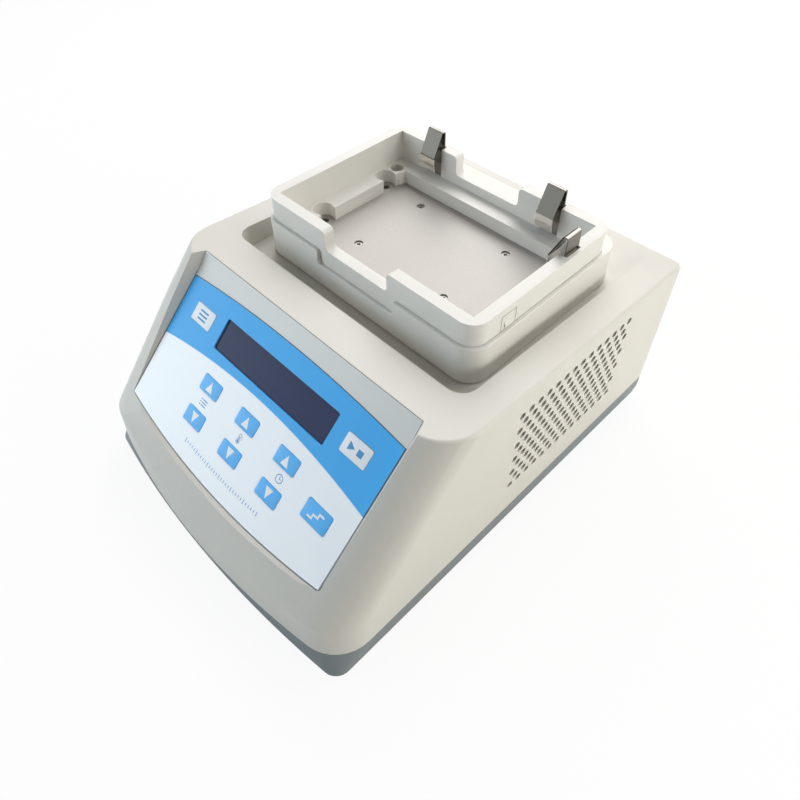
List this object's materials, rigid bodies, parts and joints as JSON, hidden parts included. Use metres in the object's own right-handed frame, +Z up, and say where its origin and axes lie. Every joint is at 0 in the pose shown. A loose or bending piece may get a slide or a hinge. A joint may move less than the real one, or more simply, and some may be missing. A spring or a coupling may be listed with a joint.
{
  "type": "dry block heater",
  "caption": "Bench-top dry block heater with a wedge-shaped housing, a tilted key panel with a display, and a walled tray with a heating plate and spring clips.",
  "frame": {"origin": "middle of the footprint, at the level the rubber feet stand on", "axes": "+Z up; -Y towards the user and the key panel, +Y towards the rear with the power entry; +X to the user's right"},
  "size_m": [0.199, 0.259, 0.1418],
  "materials": {
    "ivory_shell": "fine satin texture",
    "grey_base": "fine satin texture",
    "silver_plate": "silver paint with a fine speckle",
    "printed_film": "blue and white printed film, semi-gloss",
    "smoked_window": "clear smoked acrylic",
    "key_white": "moulded, satin",
    "key_blue": "moulded, satin",
    "tray_ivory": "fine satin texture",
    "spring_steel": "bright rolled spring steel",
    "plate_aluminium": "bead-blasted, clear anodised",
    "sink_aluminium": "extruded, mill finish",
    "screw_steel": "plated",
    "gasket_rubber": "closed-cell foam rubber",
    "foot_rubber": "moulded",
    "module_ceramic": "white alumina faces",
    "board_green": "solder-masked laminate",
    "display_body": "moulded frame",
    "fan_black": "moulded",
    "supply_case": "pressed case",
    "probe_steel": "drawn tube",
    "cutout_black": "moulded",
    "entry_black": "moulded"
  },
  "bodies": {
    "housing": {"lower_housing": "grey_base", "upper_housing": "ivory_shell", "front_bezel": "silver_plate", "panel_overlay": "printed_film", "display_window": "smoked_window", "display_module": "display_body", "key_board": "board_green", "panel_screws": "screw_steel", "block_frame": "tray_ivory", "frame_collar": "tray_ivory", "heating_plate": "plate_aluminium", "plate_screws": "screw_steel", "clip_hook_rear_left": "spring_steel", "clip_hook_rear_right": "spring_steel", "clip_hook_side": "spring_steel", "insulation_gasket": "gasket_rubber", "peltier_modules": "module_ceramic", "heat_sink": "sink_aluminium", "fan_frame": "fan_black", "fan_screws": "screw_steel", "temperature_probe": "probe_steel", "thermal_cutout": "cutout_black", "control_board": "board_green", "power_supply": "supply_case", "board_screws": "screw_steel", "mains_inlet": "entry_black", "switch_body": "entry_black", "collar_screws": "screw_steel", "base_screws": "screw_steel", "rubber_feet": "foot_rubber"},
    "key_option": {"key_option": "key_white"},
    "key_start_stop": {"key_start_stop": "key_white"},
    "key_multi_step": {"key_multi_step": "key_white"},
    "key_program_up": {"key_program_up": "key_blue"},
    "key_program_down": {"key_program_down": "key_blue"},
    "key_temp_up": {"key_temp_up": "key_blue"},
    "key_temp_down": {"key_temp_down": "key_blue"},
    "key_time_up": {"key_time_up": "key_blue"},
    "key_time_down": {"key_time_down": "key_blue"},
    "clip_leaf_rear_left": {"clip_leaf_rear_left": "spring_steel"},
    "clip_leaf_rear_right": {"clip_leaf_rear_right": "spring_steel"},
    "clip_leaf_side": {"clip_leaf_side": "spring_steel"},
    "fan_rotor": {"fan_rotor": "fan_black"},
    "power_rocker": {"power_rocker": "entry_black"},
    "fuse_drawer": {"fuse_drawer": "entry_black"}
  },
  "joints": [
    {"name": "key_option_press", "type": "slide", "parent": "housing", "child": "key_option", "axis": [0, 0.6884, -0.7254], "range_m": [0, 0.0005], "stiffness_N_per_m": 3000},
    {"name": "key_start_stop_press", "type": "slide", "parent": "housing", "child": "key_start_stop", "axis": [0, 0.6884, -0.7254], "range_m": [0, 0.0005], "stiffness_N_per_m": 3000},
    {"name": "key_multi_step_press", "type": "slide", "parent": "housing", "child": "key_multi_step", "axis": [0, 0.6884, -0.7254], "range_m": [0, 0.0005], "stiffness_N_per_m": 3000},
    {"name": "key_program_up_press", "type": "slide", "parent": "housing", "child": "key_program_up", "axis": [0, 0.6884, -0.7254], "range_m": [0, 0.0005], "stiffness_N_per_m": 3000},
    {"name": "key_program_down_press", "type": "slide", "parent": "housing", "child": "key_program_down", "axis": [0, 0.6884, -0.7254], "range_m": [0, 0.0005], "stiffness_N_per_m": 3000},
    {"name": "key_temp_up_press", "type": "slide", "parent": "housing", "child": "key_temp_up", "axis": [0, 0.6884, -0.7254], "range_m": [0, 0.0005], "stiffness_N_per_m": 3000},
    {"name": "key_temp_down_press", "type": "slide", "parent": "housing", "child": "key_temp_down", "axis": [0, 0.6884, -0.7254], "range_m": [0, 0.0005], "stiffness_N_per_m": 3000},
    {"name": "key_time_up_press", "type": "slide", "parent": "housing", "child": "key_time_up", "axis": [0, 0.6884, -0.7254], "range_m": [0, 0.0005], "stiffness_N_per_m": 3000},
    {"name": "key_time_down_press", "type": "slide", "parent": "housing", "child": "key_time_down", "axis": [0, 0.6884, -0.7254], "range_m": [0, 0.0005], "stiffness_N_per_m": 3000},
    {"name": "clip_leaf_rear_left_bend", "type": "hinge", "parent": "housing", "child": "clip_leaf_rear_left", "pos_m": [-0.041, 0.0875, 0.1415], "axis": [1, 0, 0], "range_deg": [0, 12], "stiffness_Nm_per_rad": 2.5},
    {"name": "clip_leaf_rear_right_bend", "type": "hinge", "parent": "housing", "child": "clip_leaf_rear_right", "pos_m": [0.041, 0.0875, 0.1415], "axis": [1, 0, 0], "range_deg": [0, 12], "stiffness_Nm_per_rad": 2.5},
    {"name": "clip_leaf_side_bend", "type": "hinge", "parent": "housing", "child": "clip_leaf_side", "pos_m": [0.0677, 0.0623, 0.1415], "axis": [0, -1, 0], "range_deg": [0, 12], "stiffness_Nm_per_rad": 2.5},
    {"name": "fan_rotor_spin", "type": "hinge", "parent": "housing", "child": "fan_rotor", "pos_m": [0, 0.0418, 0.05], "axis": [0, 0, 1], "continuous": true},
    {"name": "power_rocker_tilt", "type": "hinge", "parent": "housing", "child": "power_rocker", "pos_m": [0.027, 0.1259, 0.048], "axis": [1, 0, 0], "range_deg": [0, 16]},
    {"name": "fuse_drawer_pull", "type": "slide", "parent": "housing", "child": "fuse_drawer", "axis": [0, 1, 0], "range_m": [0, 0.012]}
  ]
}
